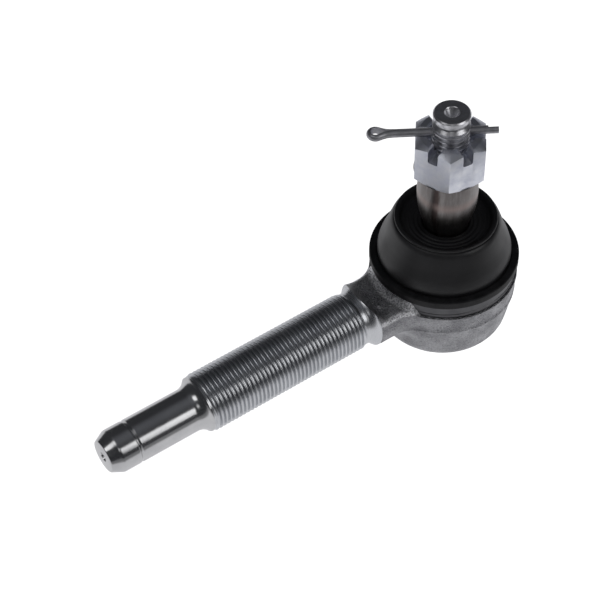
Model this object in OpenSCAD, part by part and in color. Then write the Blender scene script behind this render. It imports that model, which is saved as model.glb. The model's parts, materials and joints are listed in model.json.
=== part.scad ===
// Tie rod end: a ball stud in a forged eye, on a shank with a male thread.
// The origin is the ball's centre. +Z runs along the stud to its nut, and the shank lies along -X.
// Everything is in millimetres.

/* [Ball stud] */
// Radius of the ball
ball_r = 13.5; // [13.2:0.1:13.6]
// Height at which the ball's underside is cut flat, below its centre
ball_flat_z = 12; // [11:0.1:12.6]
// Radius of the neck between the ball and the barrel
neck_r = 7.3; // [6.8:0.1:7.4]
// Largest radius of the stud, at the foot of its cone
barrel_r = 9.95; // [9.6:0.05:10.2]
// Height at which the barrel is widest
barrel_z = 38; // [37:0.1:38.9]
// Radius of the curve that narrows the barrel downwards
barrel_curve_r = 37; // [34:1:40]
// Radius of the fillet from the neck to the barrel
neck_fillet_r = 12; // [10:0.5:14]
// Height of the cone's foot
cone_z = 39; // [39:0.1:40]
// Length over which the cone's diameter shrinks by one unit
cone_rate = 8; // [6:1:10]
// Height of the shoulder above the cone
shoulder_z = 47.2; // [46.5:0.1:47.4]
// Height of the stud's end
stud_top_z = 71.2; // [70.5:0.1:72]
// Length of the stud above its thread
stud_tip_len = 5.3; // [5.1:0.1:5.5]
// Length of the plain ring at the stud's end
tip_ring_len = 1.8; // [1.5:0.1:2]
// Radius of the undercut between the ring and the thread
undercut_r = 4.85; // [4.7:0.05:5]

/* [Threads] */
// Pitch of the stud's thread
stud_pitch = 1.75; // [1.75]
// Pitch of the shank's thread
shank_pitch = 1.5; // [1.5]
// Major radius of the stud's thread
stud_thread_r = 6; // [6]
// Major radius of the shank's thread
shank_thread_r = 10; // [10]
// Width of a thread's flat crest
crest_w = 0.3; // [0.2:0.05:0.4]
// Width of a thread's flat root
root_w = 0.2; // [0.15:0.05:0.3]

/* [Castle nut] */
// Width across the nut's flats
nut_af = 22; // [21:0.5:22.5]
// Height of the nut
nut_h = 15; // [14:0.5:15]
// Height of the nut's underside above the ball's centre
nut_z = 47.65; // [47.6:0.05:47.7]
// Turn of the nut about the stud, in degrees
nut_turn = -8.7; // [-30:0.1:30]
// Width of the nut's slots
slot_w = 3.5; // [3.2:0.1:3.8]
// Depth of the nut's slots
slot_depth = 5; // [4:0.1:5.5]
// Radius of the nut's flat top, inside its chamfer
nut_top_r = 9.9; // [9.5:0.1:10.4]
// Radius of the clear bore inside the nut's crown
crown_bore_r = 7.6; // [7.2:0.1:8]
// Turns of thread under the clear bore in the nut's crown
crown_turns = 6; // [6]
// Radius of the nut's flat underside
nut_foot_r = 11.3; // [10.8:0.1:11.8]
// Radial clearance between the nut's thread and the stud's
thread_gap = 0.08; // [0.05:0.01:0.1]

/* [Split pin] */
// Height of the pin's axis
pin_z = 63.3; // [63.3:0.1:64]
// Direction in which the pin's legs point, in degrees
pin_az = -33; // [-38:0.5:-33]
// Radius of the two legs together
pin_r = 1.3; // [1.1:0.05:1.3]
// Radius of the pin's hole in the stud
pin_hole_r = 1.5; // [1.4:0.05:1.6]
// Gap between the two legs
pin_split = 0.12; // [0.08:0.02:0.2]
// Distance from the stud's axis to the end of the long leg
long_leg = 14.8; // [12:0.1:20]
// Distance from the stud's axis to the end of the short leg
short_leg = 11.6; // [10:0.1:18]
// Distance from the stud's axis to the middle of the pin's eye
pin_eye_s = 23.5; // [20:0.1:24]

/* [Housing eye] */
// Radius of the eye at the top of its forged side
eye_r = 24.4; // [24:0.1:24.8]
// Height of the top of the forged side
forged_top_z = 2.2; // [1.5:0.1:3]
// Draft of the forged side, in degrees
draft = 7.5; // [7:0.5:9]
// Height of the eye's underside, below the ball's centre
eye_low_z = 21; // [20.6:0.1:21.4]
// Radius of the eye's lower corner
eye_corner_r = 5.2; // [4.8:0.1:5.6]
// Height of the turned shoulder under the boot's ring
shoulder_top_z = 7.6; // [7.4:0.1:7.8]
// Radius of the turned spigot inside the boot's ring
spigot_r = 23.4; // [23:0.1:23.45]
// Height of the eye's top face
eye_top_z = 8.4; // [8.3:0.1:8.4]
// Radius of the bore that holds the seats
bore_r = 17.2; // [17:0.1:17.4]
// Radius of the mouth that the stud's neck swings in
mouth_r = 13.6; // [13.4:0.1:13.8]

/* [Shank] */
// Distance from the stud's axis to the shank's end
shank_len = 133.7; // [133:0.1:150]
// Distance to the collar's edge
collar_x = 34.3; // [34:0.1:35]
// Radius of the collar's edge
collar_r = 11.35; // [11.2:0.05:11.5]
// Radius of the forged neck between the collar and the eye
forged_neck_r = 11.1; // [10.8:0.1:11.2]
// Distance to the thread's inner end
thread_x = 39.8; // [39.5:0.1:40.2]
// Turns of the shank's thread
shank_turns = 39; // [36:1:39]
// Radius of the plain pilot
pilot_r = 7.35; // [7:0.05:7.6]
// Distance to the pilot's inner end, where the fillet starts
pilot_x = 102.9; // [102.6:0.1:103.4]
// Distance to the narrow groove round the pilot
groove_x = 123.5; // [118:0.1:126]
// Radius of the shank's end face
nose_r = 5.45; // [4.8:0.05:6]
// Length of the shank's end chamfer
nose_len = 3.7; // [3.5:0.1:5]

/* [Inside the eye] */
// Clearance between the ball and its seats
ball_gap = 0.05; // [0.02:0.01:0.08]
// Height of the upper seat's mouth
seat_mouth_z = 6.1; // [5.8:0.1:6.3]
// Height of the lower seat's underside, below the ball's centre
seat_low_z = 14.6; // [14.4:0.1:14.8]
// Thickness of the disc spring
spring_t = 1.1; // [0.8:0.1:1.2]
// Thickness of the end cover
cover_t = 1.9; // [1.6:0.1:1.9]

/* [Boot] */
// Radius of the boot's base ring
base_ring_r = 25; // [24.8:0.1:25.4]
// Height of the base ring's top
base_ring_top_z = 10.6; // [10.6:0.1:11]
// Largest radius of the rubber dome
dome_r = 22.3; // [22:0.1:22.4]
// Height at which the dome starts to narrow
dome_bulge_z = 13; // [12:0.1:14]
// Radius of the mouth's rim
rim_r = 16.85; // [16.5:0.05:17.2]
// Height of the mouth's rim
rim_z = 26.6; // [26.4:0.1:27]
// Thickness of the rubber wall
boot_t = 1.8; // [1.5:0.1:2]
// Height of the floor of the boot's mouth
mouth_floor_z = 23.9; // [23.6:0.1:24.2]
// Height of the lower edge of the lip that grips the stud's neck
lip_z = 18; // [17.6:0.1:18.4]

/* [Hidden] */
$fn = 96;
eps = 0.01;

// The stud's curves: how far the neck fillet and the barrel curve turn to meet each other
stud_bend = acos(1 - (barrel_r - neck_r) / (barrel_curve_r + neck_fillet_r));
barrel_foot_z = barrel_z - barrel_curve_r * sin(stud_bend);
neck_top_z = barrel_foot_z - neck_fillet_r * sin(stud_bend);
cone_top_r = barrel_r - (shoulder_z - cone_z) / (2 * cone_rate);
stud_thread_end = stud_top_z - stud_tip_len;
stud_turns = floor((stud_thread_end - nut_z) / stud_pitch);
stud_thread_start = stud_thread_end - stud_turns * stud_pitch;
stud_root_r = stud_thread_r - thread_depth(stud_pitch);
tip_ring_z = stud_top_z - tip_ring_len;
tip_chamfer = 0.55;

nut_top_z = nut_z + nut_h;
crown_low_z = stud_thread_start + crown_turns * stud_pitch;
slot_lead = 0.5;
nut_chamfer = tan(30);

corner_z = -eye_low_z + eye_corner_r;
corner_x = eye_r - (forged_top_z - corner_z) * tan(draft) - eye_corner_r / cos(draft);
seat_cone_z = 4.2;
counterbore_r = bore_r + 0.7;
cover_top_z = -17.3;
cover_low_z = cover_top_z - cover_t;
rolled_edge_r = 15.6;

// The fillet between the forged neck and the eye, seen from above
web_fillet_r = 6;
web_fillet_y = forged_neck_r + web_fillet_r;
web_top_z = 6;
web_low_z = 8;
web_eye_r = eye_r - (forged_top_z + web_low_z) * tan(draft);
web_fillet_x = sqrt(pow(web_eye_r + web_fillet_r, 2) - pow(web_fillet_y, 2));

// The saddle that dips across the top of the forged neck
saddle_r = 10;
saddle_x = 28.3;
saddle_z = 5;
saddle_end_x = 25.6;

centre_drill_depth = 2.4;

lip_wall = 1.8;
lip_gap = 0.06;
lip_outer_r = neck_r + lip_gap + lip_wall;
lip_ring_wire_r = 0.7;
lip_ring_z = lip_z + 1.5;

// Points along an arc of an outline, from angle a0 to angle a1
function arc(cx, cy, r, a0, a1, steps = 10) =
    [for (i = [0:steps]) let (a = a0 + (a1 - a0) * i / steps) [cx + r * cos(a), cy + r * sin(a)]];

function thread_depth(pitch) = 0.613 * pitch;

// Width of one flank, seen from the side
function flank_w(pitch) = (pitch - crest_w - root_w) / 2;

// Outline of thread ridges as [radius, distance] points, one ridge in each pitch
function thread_ridges(r, start, turns, pitch) =
    let (depth = thread_depth(pitch), flank = flank_w(pitch))
    [for (i = [0:turns - 1]) let (at = start + i * pitch + root_w / 2) each [
        [r - depth, at],
        [r, at + flank],
        [r, at + flank + crest_w],
        [r - depth, at + 2 * flank + crest_w]]];

// Puts a shape that was drawn along +Z along the shank, which runs to -X
module along_shank() {
    rotate([0, -90, 0]) children();
}

module eye_outside() {
    rotate_extrude() polygon(concat(
        [[0, -eye_low_z]],
        arc(corner_x, corner_z, eye_corner_r, -90, -draft),
        [[eye_r, forged_top_z],
         [eye_r - 0.25, forged_top_z + 0.25],
         [eye_r - 0.25, 4],
         [eye_r - 0.6, 4.2],
         [eye_r - 0.6, 4.5],
         [eye_r - 0.1, 4.7],
         [eye_r - 0.1, shoulder_top_z],
         [spigot_r, shoulder_top_z],
         [spigot_r, eye_top_z - 0.3],
         [spigot_r - 0.3, eye_top_z],
         [0, eye_top_z]]));
}

module eye_inside() {
    rotate_extrude() polygon([
        [0, -eye_low_z - 1],
        [rolled_edge_r + 0.4, -eye_low_z - 1],
        [rolled_edge_r + 0.4, -eye_low_z],
        [rolled_edge_r, -eye_low_z + 0.6],
        [rolled_edge_r, cover_low_z],
        [counterbore_r, cover_low_z],
        [counterbore_r, cover_top_z],
        [bore_r, cover_top_z],
        [bore_r, seat_cone_z],
        [mouth_r, seat_cone_z + bore_r - mouth_r],
        [mouth_r, eye_top_z - 0.4],
        [mouth_r + 0.4, eye_top_z],
        [mouth_r + 0.4, eye_top_z + 1],
        [0, eye_top_z + 1]]);
}

// Flat web that widens from the forged neck into the eye
module web() {
    web_len = collar_x - 3;
    translate([0, 0, -web_low_z]) linear_extrude(web_low_z + web_top_z) difference() {
        union() {
            translate([-web_len, -forged_neck_r]) square([web_len, 2 * forged_neck_r]);
            polygon([[0, 0],
                     [-web_fillet_x, web_fillet_y],
                     [-web_fillet_x, -web_fillet_y]]);
        }
        for (side = [-1, 1]) translate([-web_fillet_x, side * web_fillet_y]) circle(web_fillet_r);
    }
}

// Round neck under the web, cut flat at the web's top
module forged_neck() {
    room = 2 * forged_neck_r;
    intersection() {
        along_shank() cylinder(r = forged_neck_r, h = collar_x - 1);
        translate([-collar_x, -room, -room]) cube([collar_x, 2 * room, room + web_top_z]);
    }
}

// Room over the neck: it is lowest beside the eye and rises to the shank's relief
module saddle() {
    room = 2 * forged_neck_r;
    intersection() {
        translate([-saddle_x, 0, saddle_z + saddle_r]) rotate([90, 0, 0])
            cylinder(r = saddle_r, h = 2 * room, center = true);
        translate([-saddle_x - saddle_r, -room, 0]) cube([saddle_x + saddle_r - saddle_end_x, 2 * room, room]);
    }
}

module shank() {
    thread_end = thread_x + shank_turns * shank_pitch;
    root_r = shank_thread_r - thread_depth(shank_pitch);
    shoulder_r = shank_thread_r - 0.5;
    shoulder_x = thread_end + 0.5;
    run_out = pilot_x - shoulder_x;
    fillet_rise = shoulder_r - pilot_r;
    fillet_r = (run_out * run_out + fillet_rise * fillet_rise) / (2 * fillet_rise);
    fillet_turn = asin(run_out / fillet_r);
    relief_r = shank_thread_r - 0.65;
    flare_r = 2.7;
    flare_turn = acos(1 - (collar_r - relief_r) / flare_r);
    relief_x = collar_x + flare_r * sin(flare_turn);
    along_shank() difference() {
        rotate_extrude() polygon(concat(
            [[0, collar_x - 3], [collar_r - 0.4, collar_x - 3], [collar_r, collar_x - 0.6]],
            arc(relief_r + flare_r, relief_x, flare_r, 180 + flare_turn, 180, 8),
            [[relief_r, thread_x - 0.6], [root_r, thread_x]],
            thread_ridges(shank_thread_r, thread_x, shank_turns, shank_pitch),
            [[root_r, thread_end], [shoulder_r, thread_end + 0.3]],
            arc(pilot_r + fillet_r, pilot_x, fillet_r, 180 + fillet_turn, 180, 8),
            [[pilot_r, groove_x - 0.6],
             [pilot_r - 0.4, groove_x - 0.2],
             [pilot_r - 0.4, groove_x + 0.2],
             [pilot_r, groove_x + 0.6],
             [pilot_r, shank_len - nose_len],
             [nose_r + 0.15, shank_len - 0.3],
             [nose_r - 0.15, shank_len],
             [0, shank_len]]));
        translate([0, 0, shank_len - centre_drill_depth])
            cylinder(r1 = 0.8, r2 = 1.6, h = centre_drill_depth + eps);
    }
}

module housing() {
    color("gray") difference() {
        union() {
            eye_outside();
            web();
            forged_neck();
            shank();
        }
        eye_inside();
        saddle();
    }
}

module end_cover() {
    color("dimgray") rotate_extrude() polygon([
        [0, cover_low_z - 0.7],
        [8, cover_low_z - 0.7],
        [10, cover_low_z],
        [counterbore_r, cover_low_z],
        [counterbore_r, cover_top_z],
        [9.4, cover_top_z],
        [7.4, cover_top_z - 0.7],
        [0, cover_top_z - 0.7]]);
}

// One bearing half, from its outline, hollowed to the ball
module seat(outline) {
    difference() {
        rotate_extrude() polygon(outline);
        sphere(r = ball_r + ball_gap);
    }
}

module upper_seat() {
    cone_top = seat_cone_z + bore_r - mouth_r;
    flare_r = mouth_r - 1;
    color("ivory") difference() {
        seat([[2, 0.8], [bore_r, 0.8], [bore_r, seat_cone_z], [mouth_r, cone_top],
              [2, cone_top]]);
        translate([0, 0, seat_mouth_z])
            cylinder(r1 = flare_r - 1, r2 = flare_r + 0.5, h = cone_top - seat_mouth_z + eps);
    }
}

module lower_seat() {
    color("ivory") seat([
        [3.5, -seat_low_z],
        [bore_r - 0.8, -seat_low_z],
        [bore_r, -seat_low_z + 0.8],
        [bore_r, -0.8],
        [3.5, -0.8]]);
}

module seat_spring() {
    inner_r = 7.5;
    outer_r = 15.2;
    color("slategray") rotate_extrude() polygon([
        [inner_r, -seat_low_z],
        [inner_r, -seat_low_z - spring_t],
        [outer_r, cover_top_z],
        [outer_r, cover_top_z + spring_t]]);
}

module boot_base_ring() {
    color("black") rotate_extrude() polygon([
        [spigot_r + 0.05, shoulder_top_z],
        [base_ring_r - 0.2, shoulder_top_z],
        [base_ring_r, shoulder_top_z + 0.2],
        [base_ring_r, base_ring_top_z - 0.4],
        [base_ring_r - 0.4, base_ring_top_z],
        [dome_r + 0.05, base_ring_top_z],
        [dome_r + 0.05, base_ring_top_z - 1],
        [spigot_r + 0.05, base_ring_top_z - 1]]);
}

// Dome and rim outside, a shallow mouth inside, and a lip round the stud's neck
module dust_boot() {
    foot_r = spigot_r - 0.1;
    foot_z = eye_top_z + 0.05;
    foot_top_z = base_ring_top_z - 1.05;
    dome_top_r = rim_r + 0.3;
    floor_r = rim_r - 3.4;
    color("black") rotate_extrude() polygon([
        [dome_r - boot_t, foot_z],
        [foot_r, foot_z],
        [foot_r, foot_top_z],
        [dome_r, foot_top_z],
        [dome_r, dome_bulge_z],
        [dome_top_r, rim_z - 1.4],
        [rim_r, rim_z - 0.8],
        [rim_r, rim_z - 0.4],
        [rim_r - 0.4, rim_z],
        [rim_r - 1.2, rim_z],
        [rim_r - 1.6, rim_z - 0.4],
        [floor_r, mouth_floor_z],
        [neck_r + lip_gap + 0.6, mouth_floor_z],
        [neck_r + lip_gap, mouth_floor_z - 1.9],
        [neck_r + lip_gap, lip_z],
        [lip_outer_r, lip_z],
        [lip_outer_r, lip_z + 2.8],
        [lip_outer_r + 1, mouth_floor_z - boot_t],
        [floor_r - 0.5, mouth_floor_z - boot_t],
        [dome_top_r - boot_t - 0.5, rim_z - 3.4],
        [dome_r - boot_t, dome_bulge_z]]);
}

module boot_lip_ring() {
    color("dimgray") translate([0, 0, lip_ring_z]) rotate_extrude()
        translate([lip_outer_r + 0.05 + lip_ring_wire_r, 0]) circle(lip_ring_wire_r);
}

module ball_stud() {
    crest_z = stud_thread_end + flank_w(stud_pitch);
    color("silver") difference() {
        union() {
            intersection() {
                sphere(r = ball_r);
                translate([-ball_r, -ball_r, -ball_flat_z]) cube(2 * ball_r);
            }
            rotate_extrude() polygon(concat(
                [[0, 0], [neck_r, 0]],
                arc(neck_r + neck_fillet_r, neck_top_z, neck_fillet_r, 180, 180 - stud_bend),
                arc(barrel_r - barrel_curve_r, barrel_z, barrel_curve_r, -stud_bend, 0),
                [[barrel_r, cone_z],
                 [cone_top_r, shoulder_z - 0.8],
                 [cone_top_r - 0.8, shoulder_z],
                 [stud_root_r, shoulder_z]],
                thread_ridges(stud_thread_r, stud_thread_start, stud_turns, stud_pitch),
                [[stud_thread_r, crest_z],
                 [undercut_r, crest_z + stud_thread_r - undercut_r],
                 [undercut_r, tip_ring_z - 0.2],
                 [stud_thread_r, tip_ring_z],
                 [stud_thread_r, stud_top_z - tip_chamfer],
                 [stud_thread_r - tip_chamfer, stud_top_z],
                 [0, stud_top_z]]));
        }
        translate([0, 0, pin_z]) rotate([0, 90, pin_az]) cylinder(r = pin_hole_r, h = 30, center = true);
        translate([0, 0, stud_top_z - 3.2]) cylinder(r1 = 0.6, r2 = 2.4, h = 3.2 + eps);
    }
}

// The nut's thread, with a countersink under it and the crown's clear bore over it
module nut_thread() {
    r = stud_thread_r + thread_gap;
    root_r = stud_root_r + thread_gap;
    rotate_extrude() polygon(concat(
        [[0, nut_z - 1], [r + 0.6, nut_z - 1], [r + 0.6, nut_z], [root_r, nut_z + 0.8]],
        [for (p = thread_ridges(r, stud_thread_start, stud_turns, stud_pitch))
            if (p[1] > nut_z + 0.8 && p[1] < crown_low_z) p],
        [[root_r, crown_low_z], [crown_bore_r, crown_low_z + 1.5], [crown_bore_r, nut_top_z + 1],
         [0, nut_top_z + 1]]));
}

// One pair of opposite slots, wider at the top
module nut_slot() {
    half = slot_w / 2;
    rotate([90, 0, 90]) linear_extrude(30, center = true) polygon([
        [-half, nut_top_z - slot_depth],
        [half, nut_top_z - slot_depth],
        [half, nut_top_z - slot_lead],
        [half + slot_lead + 1, nut_top_z + 1],
        [-half - slot_lead - 1, nut_top_z + 1],
        [-half, nut_top_z - slot_lead]]);
}

module castle_nut() {
    corner_r = nut_af / 2 / cos(30);
    color("lightgray") difference() {
        intersection() {
            translate([0, 0, nut_z]) rotate(nut_turn) cylinder(r = corner_r, h = nut_h, $fn = 6);
            rotate_extrude() polygon([
                [0, nut_z],
                [nut_foot_r, nut_z],
                [corner_r + 1, nut_z + (corner_r + 1 - nut_foot_r) * nut_chamfer],
                [corner_r + 1, nut_top_z - (corner_r + 1 - nut_top_r) * nut_chamfer],
                [nut_top_r, nut_top_z],
                [0, nut_top_z]]);
        }
        nut_thread();
        for (i = [0:2]) rotate(nut_turn + 30 + 60 * i) nut_slot();
    }
}

// A half-round leg, from the pin's eye to its end, on one side of the split
module pin_leg(side, end) {
    start = -pin_eye_s + 2;
    intersection() {
        translate([start, 0, 0]) rotate([0, 90, 0]) cylinder(r = pin_r, h = end - start);
        translate([start, side > 0 ? pin_split / 2 : -pin_r - 1, -pin_r - 1])
            cube([end - start, pin_r + 1 - pin_split / 2, 2 * pin_r + 2]);
    }
}

module split_pin() {
    eye_outer = 2.9;
    eye_inner = 1.6;
    color("dimgray") translate([0, 0, pin_z]) rotate(pin_az) {
        pin_leg(-1, long_leg);
        pin_leg(1, short_leg);
        translate([0, 0, -pin_r * 0.85]) linear_extrude(pin_r * 1.7) difference() {
            union() {
                translate([-pin_eye_s, 0]) circle(eye_outer);
                polygon([[-pin_eye_s + 0.8, -eye_outer + 0.15],
                         [-pin_eye_s + 5, -pin_r + 0.1],
                         [-pin_eye_s + 5, pin_r - 0.1],
                         [-pin_eye_s + 0.8, eye_outer - 0.15]]);
            }
            translate([-pin_eye_s, 0]) circle(eye_inner);
            translate([-pin_eye_s + 1, -pin_split / 2]) square([5, pin_split]);
        }
    }
}

housing();
end_cover();
upper_seat();
lower_seat();
seat_spring();
boot_base_ring();
dust_boot();
boot_lip_ring();
ball_stud();
castle_nut();
split_pin();
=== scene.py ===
"""Looks of a tie rod end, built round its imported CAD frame.

Shapes are worked out in millimetres and become metres when their mesh is made.
+Z runs along the stud to its nut, and the shank lies along -X from the ball's centre.
"""

import json
import math

import bmesh
import bpy
import numpy as np
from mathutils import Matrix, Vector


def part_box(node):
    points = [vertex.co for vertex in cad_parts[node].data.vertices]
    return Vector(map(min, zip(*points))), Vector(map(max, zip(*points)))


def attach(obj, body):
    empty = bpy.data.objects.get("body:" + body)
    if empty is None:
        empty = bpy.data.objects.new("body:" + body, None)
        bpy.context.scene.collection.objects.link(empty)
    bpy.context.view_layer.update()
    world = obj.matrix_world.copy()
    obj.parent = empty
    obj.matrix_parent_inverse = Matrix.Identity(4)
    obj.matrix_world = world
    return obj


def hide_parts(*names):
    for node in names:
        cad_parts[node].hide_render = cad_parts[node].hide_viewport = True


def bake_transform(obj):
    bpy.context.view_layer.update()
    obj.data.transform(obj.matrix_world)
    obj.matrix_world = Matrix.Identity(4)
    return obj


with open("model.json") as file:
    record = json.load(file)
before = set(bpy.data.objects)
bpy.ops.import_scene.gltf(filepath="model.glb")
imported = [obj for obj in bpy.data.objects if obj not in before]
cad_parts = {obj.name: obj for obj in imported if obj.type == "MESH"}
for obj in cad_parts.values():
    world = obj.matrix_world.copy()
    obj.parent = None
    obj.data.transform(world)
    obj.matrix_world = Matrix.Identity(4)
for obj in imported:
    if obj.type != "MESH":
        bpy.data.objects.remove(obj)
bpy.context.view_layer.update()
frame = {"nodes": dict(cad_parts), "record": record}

import openvdb
from mathutils import Matrix, Vector, noise

# ---------------------------------------------------------------- sizes, in millimetres

MM = 0.001
TAU = 2 * math.pi
SEGMENTS = 96
MERGE = 2e-4


def box_mm(node):
    """Lowest and highest corner of a CAD node, in millimetres."""
    low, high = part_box(node)
    return low / MM, high / MM


def mount_mm(name):
    """Place, radius and length of a mount of the record, in millimetres."""
    found = next(m for m in frame["record"]["mounts"] if m["name"] == name)
    return Vector(found["pos_m"]) / MM, found["dims"]["r_mm"], found["dims"]["length_mm"]


HOUSING_LOW, HOUSING_HIGH = box_mm("housing")
STUD_LOW, STUD_HIGH = box_mm("ball_stud")
NUT_LOW, NUT_HIGH = box_mm("castle_nut")
PIN_LOW, PIN_HIGH = box_mm("split_pin")
RING_LOW, RING_HIGH = box_mm("boot_base_ring")
BOOT_LOW, BOOT_HIGH = box_mm("dust_boot")
COVER_LOW, COVER_HIGH = box_mm("end_cover")

# Threads
SHANK_PITCH, STUD_PITCH = 1.5, 1.75
DEPTH_OF_PITCH = 0.613
THREAD_ROWS = 9
RUN_IN = 2.1

# Shank, by distance from the stud's axis
THREAD_MID, THREAD_R, THREAD_LEN = mount_mm("shank_thread")
PILOT_MID, PILOT_R, PILOT_LEN = mount_mm("shank_pilot")
SHANK_LEN = -HOUSING_LOW.x
THREAD_IN = -THREAD_MID.x - THREAD_LEN / 2
THREAD_OUT = -THREAD_MID.x + THREAD_LEN / 2
PILOT_IN = -PILOT_MID.x - PILOT_LEN / 2
GROOVE_X = -PILOT_MID.x + PILOT_LEN / 2 + 0.6
NOSE_R = 5.45
NOSE_LEN = 3.7
COLLAR_R = 11.35
COLLAR_X = 34.3
RELIEF_R = THREAD_R - 0.65
FLARE_R = 3.4

# Forged eye and neck
EYE_R = HOUSING_HIGH.x
EYE_LOW_Z = HOUSING_LOW.z
EYE_CORNER_R = 5.2
EYE_TOP_Z = RING_LOW.z + 0.8
FORGED_TOP_Z = 2.5
SIDE_ARC_R = 150.0
SIDE_TOP_DRAFT = math.radians(4)
PARTING_Z = -4.6
NECK_R = 11.4
NECK_END_X = 38.0
NECK_DIP_X, NECK_DIP_Z = 29.3, 4.8
NECK_RISE = 0.105
WEB_TOP_Z = RING_LOW.z - 0.2
WEB_FILLET_R = 5.0
WEB_TOP_FILLET_R = 1.8
SPIGOT_R = 23.4
BORE_R = 17.2
MOUTH_R = 13.6
VOXEL = 0.35

# Ball stud
BALL_R = 13.5
NECK_OF_STUD_R = 7.3
BARREL_R = 9.95
BARREL_Z = 38.0
BARREL_CURVE_R = 37.0
STUD_FILLET_R = 12.0
CONE_Z = 39.0
CONE_RATE = 8.0
SHOULDER_Z = 47.2
STUD_R = 6.0
STUD_CREST_Z = STUD_HIGH.z - 4.7
TIP_RING_LEN = 1.8
UNDERCUT_R = 4.85
DRILL_R, DRILL_DEPTH = 2.5, 3.0

# Castle nut and split pin
NUT_CORNER_R = 22 / 2 / math.cos(math.radians(30))
NUT_TOP_R = 9.9
NUT_FOOT_R = 11.3
NUT_TURN = math.radians(-8.7)
SLOT_W, SLOT_DEPTH = 3.5, 5.0
SLOT_LEAD = 0.5
CROWN_BORE_R = 7.6
CROWN_LOW_Z = 58.9
THREAD_GAP = 0.08
PIN_Z = (PIN_LOW.z + PIN_HIGH.z) / 2
PIN_TURN = math.radians(-33)
PIN_R = (PIN_HIGH.z - PIN_LOW.z) / 2
PIN_HOLE_R = 1.5
PIN_SPLIT = 0.06
LONG_LEG, SHORT_LEG = 14.8, 11.6
PIN_EYE_S, PIN_EYE_R = -23.6, 1.6

# Boot
BOOT_T = 1.8
SEAM_Z = 18.3
CREASE_Z = BOOT_HIGH.z - 1.0
RIM_R = 16.85
LIP_R = 7.36
LIP_Z = 18.0
RING_R = RING_HIGH.x
RING_NOTCH = (2.4, 2.3, 0.7)
RING_NOTCH_AT = (math.radians(-45), math.radians(135))

# Camera, in degrees, metres and millimetres of lens
CAMERA_ANGLES = (-33.963, 48.118, -1.732)
CAMERA_PLACE = (-0.261796, -0.301736, 0.428901)
CAMERA_LENS = 103.56


# ---------------------------------------------------------------- outlines and meshes


def smooth_step(t):
    """0 up to t = 0, 1 from t = 1, and a smooth rise between."""
    t = np.clip(t, 0, 1)
    return t * t * (3 - 2 * t)


def arc(centre_r, centre_h, radius, start, end, steps=10):
    """Points of an arc of an outline, between two angles in degrees."""
    angles = np.radians(np.linspace(start, end, steps + 1))
    return [(centre_r + radius * math.cos(a), centre_h + radius * math.sin(a)) for a in angles]


def spline(points, steps=6):
    """A smooth curve through the points, with that many steps between two of them."""
    p = np.array([points[0], *points, points[-1]], float)
    curve = []
    for a, b, c, d in zip(p, p[1:], p[2:], p[3:]):
        for t in np.arange(steps) / steps:
            curve.append(0.5 * (2 * b + (c - a) * t + (2 * a - 5 * b + 4 * c - d) * t * t
                                + (3 * b - a - 3 * c + d) * t ** 3))
    return [tuple(q) for q in curve] + [tuple(p[-1])]


def grid_faces(rows, columns, closed=False, rows_per_turn=0):
    """Quads of a grid that wraps round its columns. On a helix a column's end meets a later row."""
    faces = []
    for i in range(rows if closed else rows - 1):
        for j in range(columns):
            k = (j + 1) % columns
            here, after = i, (i + 1) % rows
            lift = rows_per_turn if k == 0 else 0
            if after + lift < rows:
                faces.append((here * columns + j, (here + lift) * columns + k,
                              (after + lift) * columns + k, after * columns + j))
    return faces


def with_loops(outline, closed=False, keep=0.12, corner=8):
    """The outline with a point close to each of its corners, so that smooth shading stays local."""
    points = [np.array(p, float) for p in outline]
    count = len(points)
    ways = [points[(i + 1) % count] - points[i] for i in range(count)]
    sizes = [np.linalg.norm(w) for w in ways]

    def turns(i):
        if not closed and i in (0, count - 1):
            return True
        before, after = ways[i - 1], ways[i]
        cross = before[0] * after[1] - before[1] * after[0]
        return abs(math.degrees(math.atan2(cross, before @ after))) > corner

    done = []
    for i in range(count if closed else count - 1):
        done.append(points[i])
        if sizes[i] > 4 * keep:
            way = ways[i] / sizes[i]
            if turns(i):
                done.append(points[i] + way * keep)
            if turns((i + 1) % count):
                done.append(points[(i + 1) % count] - way * keep)
    return done if closed else done + [points[-1]]


def revolved(outline, closed=False, segments=SEGMENTS):
    """Points and quads of an outline of (radius, height) points turned round +Z."""
    outline = np.array(with_loops(outline, closed))
    turn = np.arange(segments) * TAU / segments
    radius, height = outline[:, :1], outline[:, 1:]
    points = np.stack([radius * np.cos(turn), radius * np.sin(turn), height + 0 * turn], axis=-1)
    return points.reshape(-1, 3), grid_faces(len(outline), segments, closed)


def threaded(pitch, outer_r, start, end, start_r, end_r, run_out=1.5, gap=0.0):
    """Points and quads of a right-hand thread round +Z that fades into plain ends."""
    phase = np.arange(THREAD_ROWS) / THREAD_ROWS
    groove = 0.5 + 0.5 * np.tanh(2.2 * np.cos(TAU * phase)) / math.tanh(2.2)
    turns = math.ceil((end - start) / pitch) + 2
    first = (np.arange(turns)[:, None] - 1 + phase).ravel() * pitch + start
    depth = np.tile(groove, turns)[:, None] * pitch * DEPTH_OF_PITCH
    turn = np.arange(SEGMENTS) * TAU / SEGMENTS
    height = first[:, None] + pitch * turn / TAU
    inside = np.clip(height, start, end)
    fade_in = smooth_step((inside - start) / run_out)
    fade_out = smooth_step((end - inside) / run_out)
    radius = outer_r + gap - depth
    radius = start_r + (radius - start_r) * fade_in
    radius = end_r + (radius - end_r) * fade_out
    points = np.stack([radius * np.cos(turn), radius * np.sin(turn), inside], axis=-1)
    return points.reshape(-1, 3), grid_faces(len(first), SEGMENTS, rows_per_turn=THREAD_ROWS)


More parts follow.
